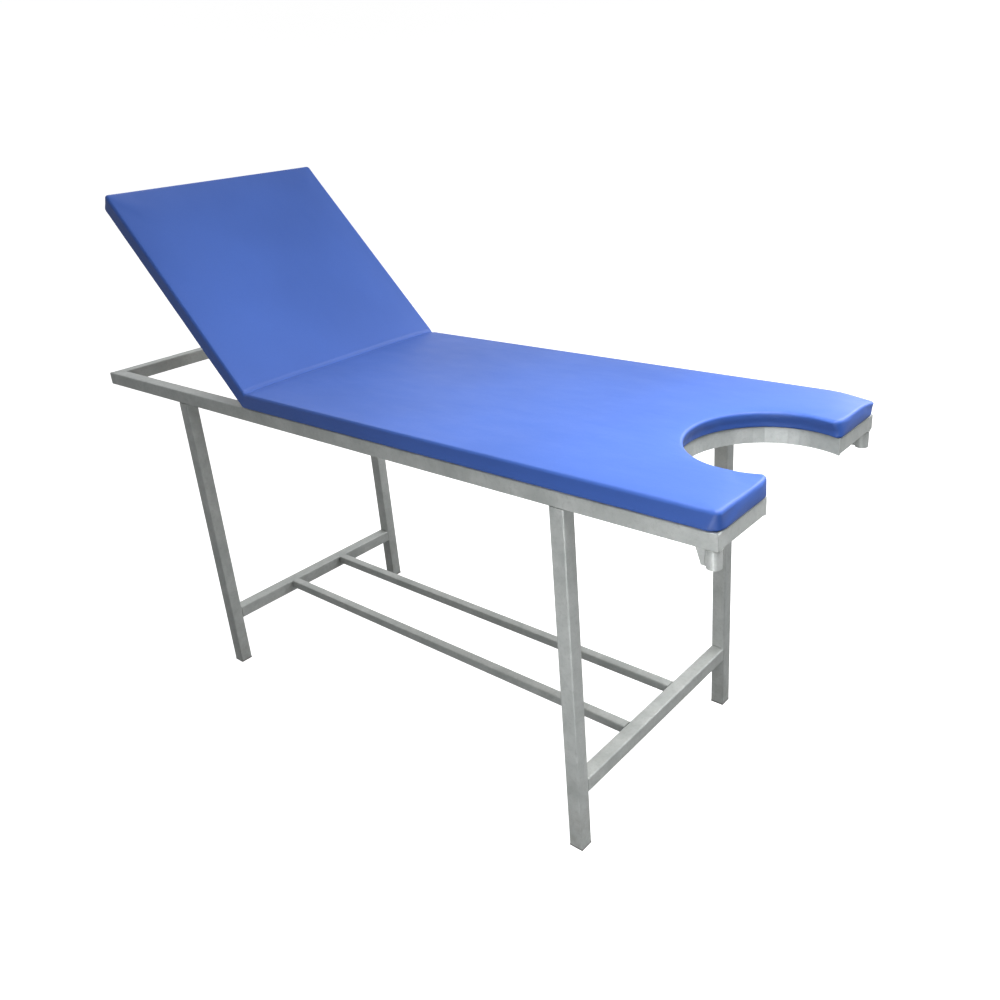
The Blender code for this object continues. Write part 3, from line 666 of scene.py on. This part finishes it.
def make_staples():
    """Upholstery staples along the hem, each a bent wire driven into the board."""
    base = BOARD_LOW.z - HINGE.z - HEM
    line = hem_line(STAPLE_INSET)
    lengths = np.cumsum([0.0] + [(Vector(b) - Vector(a)).length for a, b in zip(line, line[1:])])
    count = round(lengths[-1] / STAPLE_PITCH)
    wires = Strands()
    half = STAPLE_CROWN / 2
    for number in range(count):
        run = lengths[-1] * (number + 0.5) / count
        k = int(np.searchsorted(lengths, run))
        a, b = Vector(line[k - 1]), Vector(line[k])
        middle = a.lerp(b, (run - lengths[k - 1]) / (lengths[k] - lengths[k - 1]))
        lean = 0.22 * sin(2.6 * number)
        along = Matrix.Rotation(lean, 2) @ (b - a).normalized()
        crown = STAPLE_WIRE[0] - STAPLE_PROUD
        legs = ((-half, STAPLE_LEG), (-half, STAPLE_LEG / 3), (STAPLE_BEND - half, crown))
        shape = [*legs, *[(-x, h) for x, h in reversed(legs)]]
        spots = [(*(middle + along * x), base + h) for x, h in shape]
        across = raised(-along.y, along.x, 0) - raised(0, 0, 0)
        wires.path([raised(*spot) for spot in spots], across, *STAPLE_WIRE, 6)
    wires.finish("hem_staples", "backrest", FINISHES["zinc_plated_steel"])


# ---- weld beads ---------------------------------------------------------------------------
class Strands:
    """Wires or weld beads along paths, gathered into one piece."""

    def __init__(self):
        self.vertices = []
        self.faces = []
        self.count = 0

    def path(self, points, up, width, height, sides=8, swells=None):
        up = Vector(up).normalized()
        first = len(self.vertices)
        last = len(points) - 1
        for i, point in enumerate(points):
            along = (points[min(i + 1, last)] - points[max(i - 1, 0)]).normalized()
            side = along.cross(up).normalized()
            swell = swells[i] if swells else 1
            for k in range(sides):
                turn = 2 * pi * k / sides
                spot = side * (width * cos(turn)) + up * (height * sin(turn))
                self.vertices.append(point + spot * swell)
        for i in range(last):
            for k in range(sides):
                low, high, step = first + i * sides, first + (i + 1) * sides, (k + 1) % sides
                self.faces.append((low + k, low + step, high + step, high + k))
        self.faces.append(tuple(first + k for k in reversed(range(sides))))
        self.faces.append(tuple(first + last * sides + k for k in range(sides)))

    def ripple(self, points, up, width=BEAD, height=BEAD):
        """A rippled bead with blunt ends; the points are BEAD_STEP apart."""
        self.count += 1
        last = len(points) - 1
        swells = []
        for i in range(last + 1):
            run = i * BEAD_STEP
            wave = 0.13 * sin(2 * pi * run / BEAD_PITCH) + 0.10 * sin(run / 0.0031 + self.count)
            blunt = 0.15 + 0.85 * (1 - abs(2 * i / last - 1) ** 8) ** 0.5
            swells.append((1 + wave) * blunt)
        self.path(points, up, width, height, swells=swells)

    def bead(self, start, end, up, width=BEAD, height=BEAD):
        """A bead from start to end, whose middle line lies on the seam."""
        start, end = Vector(start), Vector(end)
        steps = ceil((end - start).length / BEAD_STEP)
        self.ripple([start.lerp(end, i / steps) for i in range(steps + 1)], up, width, height)

    def finish(self, name, body="frame", material=WELD_PAINT):
        piece = new_piece(name, self.vertices, self.faces, material)
        edit = bmesh.new()
        edit.from_mesh(piece.data)
        bmesh.ops.recalc_face_normals(edit, faces=edit.faces)
        edit.to_mesh(piece.data)
        edit.free()
        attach(piece, body)


def inner(box, sign):
    """The y of a near or far node's face towards the middle."""
    low, high = box
    return low.y if sign > 0 else high.y


def weld_legs():
    """Fillets at both sides of each leg's top, and round the ends of the lower rails."""
    welds = Strands()
    for end in ("head", "foot"):
        for side, sign in SIDES:
            low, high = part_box(f"leg_{end}_{side}")
            for x, out in ((low.x, -1), (high.x, 1)):
                welds.bead((x, low.y + BEAD, high.z), (x, high.y - BEAD, high.z), (out, 0, -1))
            y = inner((low, high), sign)
            rail_low, rail_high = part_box("lower_rail_" + end)
            for z, up in ((rail_high.z, 1), (rail_low.z, -1)):
                welds.bead((low.x + BEAD, y, z), (high.x - BEAD, y, z), (0, -sign, up))
    welds.finish("welds_legs")


def weld_lower_frame():
    """Fillets at the sides and underneath of each stretcher's ends."""
    welds = Strands()
    for side, _ in SIDES:
        low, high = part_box("stretcher_" + side)
        for x, back in ((low.x, 1), (high.x, -1)):
            for y, out in ((low.y, -1), (high.y, 1)):
                welds.bead((x, y, low.z), (x, y, high.z - BEAD), (back, out, 0))
            welds.bead((x, low.y, low.z), (x, high.y, low.z), (back, 0, -1))
    welds.finish("welds_lower_frame")


def weld_top_frame():
    """Dressed welds at the corners; fillets at cross members, bearers and lugs."""
    welds = Strands()
    low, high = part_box("side_rail_near")
    for x, turn in ((low.x, 1), (high.x, -1)):
        for _, sign in SIDES:
            y = -sign * low.y
            for z, up in ((high.z, 1), (low.z, -1)):
                corner = (x + turn * MITRE_INSET, y - sign * MITRE_INSET, z)
                inside = (x + turn * TUBE, y - sign * TUBE, z)
                welds.bead(corner, inside, (0, 0, up), *FLAT_BEAD)
    for name in CROSS_MEMBERS:
        member_low, member_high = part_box(name)
        for x, out in ((member_low.x, -1), (member_high.x, 1)):
            for y, turn in ((member_low.y, 1), (member_high.y, -1)):
                ends = (x, y, member_low.z), (x, y, member_high.z - FILLET_STOP)
                welds.bead(*ends, (out, turn, 0))
    for side, _ in SIDES:
        bearer_low, bearer_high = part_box("prop_bearer_" + side)
        for name in CROSS_MEMBERS[:2]:
            member_low, member_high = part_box(name)
            reach = min(member_high.x, bearer_high.x)
            for y, out in ((bearer_low.y, -1), (bearer_high.y, 1)):
                ends = (member_low.x, y, bearer_high.z), (reach, y, bearer_high.z)
                welds.bead(*ends, (0, out, -1))
        lug_low, lug_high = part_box("prop_lug_" + side)
        for y, out in ((lug_low.y, -1), (lug_high.y, 1)):
            ends = (lug_low.x, y, bearer_high.z), (lug_high.x, y, bearer_high.z)
            welds.bead(*ends, (0, out, 1), *SMALL_BEAD)
    welds.finish("welds_top_frame")


def weld_sockets():
    """A ring round each stirrup socket's top, and both sides of its web."""
    welds = Strands()
    for side, _ in SIDES:
        low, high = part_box("stirrup_socket_" + side)
        middle = (low + high) / 2
        radius = (high.x - low.x) / 2
        steps = ceil(2 * pi * radius / BEAD_STEP)
        ring = arc((middle.x, middle.y), radius, 0, 2 * pi, steps)
        welds.ripple([Vector((x, y, high.z)) for x, y in ring], (0, 0, -1), *SOCKET_BEAD)
        web_low, web_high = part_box("socket_web_" + side)
        for y, out in ((web_low.y, -1), (web_high.y, 1)):
            welds.bead((web_low.x, y, web_high.z), (web_high.x, y, web_high.z), (0, out, -1))
            welds.bead((web_high.x, y, web_low.z), (web_high.x, y, web_high.z), (-1, out, 0))
    welds.finish("welds_sockets")


# ---- floor, light and camera --------------------------------------------------------------
AMBIENT = (  # direction and strength of each broad glow
    ((-0.7, 0, 0.7), 0.36),
    ((-1, 0, 0), 0.25),
    ((0, 1, 0), 0.62),
    ((0, 0, -1), 0.10),
)
LAMPS = (  # name, place, target, width, watts
    ("over_foot", (1.2, -0.2, 1.8), (1.2, -0.2, 0.8), 1.2, 25),
    ("top_foot", (1.2, 0, 2.6), (1.2, 0, 0.8), 2.0, 17),
    ("back_head", (-2.2, 0.8, 3.4), (0.1, 0, 0.8), 1.5, 20),
    ("back", (0.8, 2.8, 2.0), (0.4, 0, 0.8), 2.0, 20),
    ("back_foot", (1.2, 1.6, 1.9), (0.6, 0, 0.8), 1.2, 21),
    ("low_foot", (1.1, -1.1, 0.35), (0.7, -0.2, 0.6), 0.7, 7),
    ("front", (0.3, -3.0, 1.6), (0.2, 0, 0.6), 2.0, 6),
)
FLOOR_FLAT = 7.0          # radius of the flat floor, and of its upward sweep
SWEEP = 3.0
CAMERA_PLACE = Vector((1.5125, -1.4146, 1.428))
CAMERA_AZIMUTH = radians(42.10)
CAMERA_ELEVATION = radians(22.74)
CAMERA_ROLL = radians(-4.59)
CAMERA_LENS = 33.4
CAMERA_SHIFT = (-0.0104, -0.0262)


def make_camera():
    data = bpy.data.cameras.new("camera")
    data.lens = CAMERA_LENS
    data.sensor_width = 36
    data.shift_x, data.shift_y = CAMERA_SHIFT
    camera = bpy.data.objects.new("camera", data)
    bpy.context.scene.collection.objects.link(camera)
    flat = cos(CAMERA_ELEVATION)
    back = Vector(
        (sin(CAMERA_AZIMUTH) * flat, -cos(CAMERA_AZIMUTH) * flat, sin(CAMERA_ELEVATION))
    )
    level = (-back).cross(Vector((0, 0, 1))).normalized()
    upright = level.cross(-back)
    right = level * cos(CAMERA_ROLL) + upright * sin(CAMERA_ROLL)
    up = upright * cos(CAMERA_ROLL) - level * sin(CAMERA_ROLL)
    camera.matrix_world = Matrix(
        [(*row, place) for row, place in zip(zip(right, up, back), CAMERA_PLACE)] + [(0, 0, 0, 1)]
    )
    bpy.context.scene.camera = camera


def make_floor():
    """A round floor whose rim sweeps up into a backdrop, seen but not lighting the couch."""
    profile = [(0.02, 0.0), (2.0, 0.0), (FLOOR_FLAT, 0.0)]
    profile += arc((FLOOR_FLAT, SWEEP), SWEEP, -pi / 2, 0, 12)[1:]
    profile.append((FLOOR_FLAT + SWEEP, 3 * SWEEP))
    turns = 64
    vertices = [
        (r * cos(2 * pi * k / turns), r * sin(2 * pi * k / turns), z)
        for r, z in profile
        for k in range(turns)
    ]
    faces = [tuple(range(turns))]
    for ring in range(len(profile) - 1):
        for k in range(turns):
            low, high, step = ring * turns, (ring + 1) * turns, (k + 1) % turns
            faces.append((low + k, high + k, high + step, low + step))
    floor = new_piece("floor", vertices, faces, make_floor_white())
    floor.visible_diffuse = floor.visible_glossy = floor.visible_shadow = False


def add_area(name, place, target, size, power):
    data = bpy.data.lights.new(name, "AREA")
    data.shape = "DISK"
    data.size = size
    data.energy = power
    lamp = bpy.data.objects.new(name, data)
    lamp.location = place
    lamp.visible_camera = False
    aim = Vector(target) - Vector(place)
    lamp.rotation_euler = aim.to_track_quat("-Z", "Y").to_euler()
    bpy.context.scene.collection.objects.link(lamp)


def make_world():
    """Soft ambient light, brighter from the head end and from behind."""
    world = bpy.data.worlds.new("studio")
    world.use_nodes = True
    tree = world.node_tree
    place = tree.nodes.new("ShaderNodeTexCoord").outputs["Generated"]
    total = None
    for direction, strength in AMBIENT:
        facing = tree.nodes.new("ShaderNodeVectorMath")
        facing.operation = "DOT_PRODUCT"
        tree.links.new(place, facing.inputs[0])
        facing.inputs[1].default_value = Vector(direction) * strength
        lit = tree.nodes.new("ShaderNodeMath")
        lit.operation = "MAXIMUM"
        tree.links.new(facing.outputs["Value"], lit.inputs[0])
        lit.inputs[1].default_value = 0
        if total:
            both = tree.nodes.new("ShaderNodeMath")
            tree.links.new(total, both.inputs[0])
            tree.links.new(lit.outputs[0], both.inputs[1])
            total = both.outputs[0]
        else:
            total = lit.outputs[0]
    background = tree.nodes["Background"]
    background.inputs["Color"].default_value = (1, 1, 1, 1)
    tree.links.new(total, background.inputs["Strength"])
    bpy.context.scene.world = world


def make_light():
    make_world()
    for lamp in LAMPS:
        add_area(*lamp)
    bpy.context.scene.view_settings.view_transform = "Standard"


finish_frame()
make_cover()
make_hem()
make_staples()
weld_legs()
weld_lower_frame()
weld_top_frame()
weld_sockets()
make_floor()
make_light()
make_camera()
